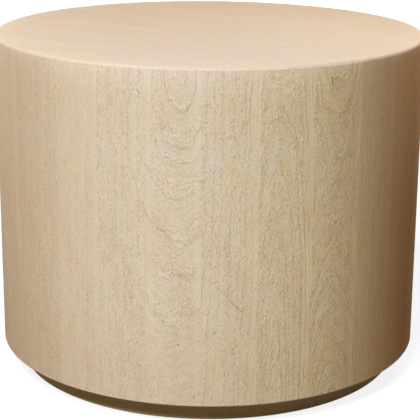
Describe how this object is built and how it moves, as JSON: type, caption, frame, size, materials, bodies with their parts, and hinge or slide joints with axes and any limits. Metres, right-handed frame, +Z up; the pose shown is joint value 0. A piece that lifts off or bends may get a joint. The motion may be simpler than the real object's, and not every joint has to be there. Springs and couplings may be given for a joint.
{
  "type": "round end table",
  "caption": "Closed round drum end table: pale washed wood staves with crisp eased edges, a mitred flat board top and a set-back dark plinth.",
  "frame": {"origin": "on the floor, under the middle of the drum", "axes": "+Z up the drum's axis; the side in the picture faces -Y; +X to the right of it"},
  "size_m": [0.61, 0.61, 0.4825],
  "materials": {
    "washed_hardwood": "brushed, bleached and washed, matt clear lacquer",
    "dark_stained_hardwood": "dark brown stain, matt lacquer",
    "plywood": "bare sanded plywood",
    "sawn_softwood": "planed, bare",
    "beech_dowel": "bare",
    "zinc_plated_steel": "zinc plated",
    "felt": "pressed wool felt"
  },
  "bodies": {
    "root": {"base_panel": "plywood", "base_panel_screws": "zinc_plated_steel", "batten_screws": "zinc_plated_steel", "felt_glides": "felt", "plinth_dowels": "beech_dowel", "plinth_screws": "zinc_plated_steel", "plinth_segment_1": "dark_stained_hardwood", "plinth_segment_2": "dark_stained_hardwood", "plinth_segment_3": "dark_stained_hardwood", "plinth_segment_4": "dark_stained_hardwood", "plinth_segment_5": "dark_stained_hardwood", "plinth_segment_6": "dark_stained_hardwood", "plinth_segment_7": "dark_stained_hardwood", "plinth_segment_8": "dark_stained_hardwood", "stave_01": "washed_hardwood", "stave_02": "washed_hardwood", "stave_03": "washed_hardwood", "stave_04": "washed_hardwood", "stave_05": "washed_hardwood", "stave_06": "washed_hardwood", "stave_07": "washed_hardwood", "stave_08": "washed_hardwood", "stave_09": "washed_hardwood", "stave_10": "washed_hardwood", "stave_11": "washed_hardwood", "stave_12": "washed_hardwood", "stave_13": "washed_hardwood", "stave_14": "washed_hardwood", "stave_15": "washed_hardwood", "stave_16": "washed_hardwood", "stave_17": "washed_hardwood", "stave_18": "washed_hardwood", "stave_19": "washed_hardwood", "stave_20": "washed_hardwood", "stave_21": "washed_hardwood", "stave_22": "washed_hardwood", "stave_23": "washed_hardwood", "stave_24": "washed_hardwood", "stave_25": "washed_hardwood", "stave_26": "washed_hardwood", "top_batten_1": "sawn_softwood", "top_batten_2": "sawn_softwood", "top_board_1": "washed_hardwood", "top_board_2": "washed_hardwood", "top_board_3": "washed_hardwood", "top_board_4": "washed_hardwood", "top_board_5": "washed_hardwood", "top_board_6": "washed_hardwood", "top_board_7": "washed_hardwood"}
  },
  "joints": []
}
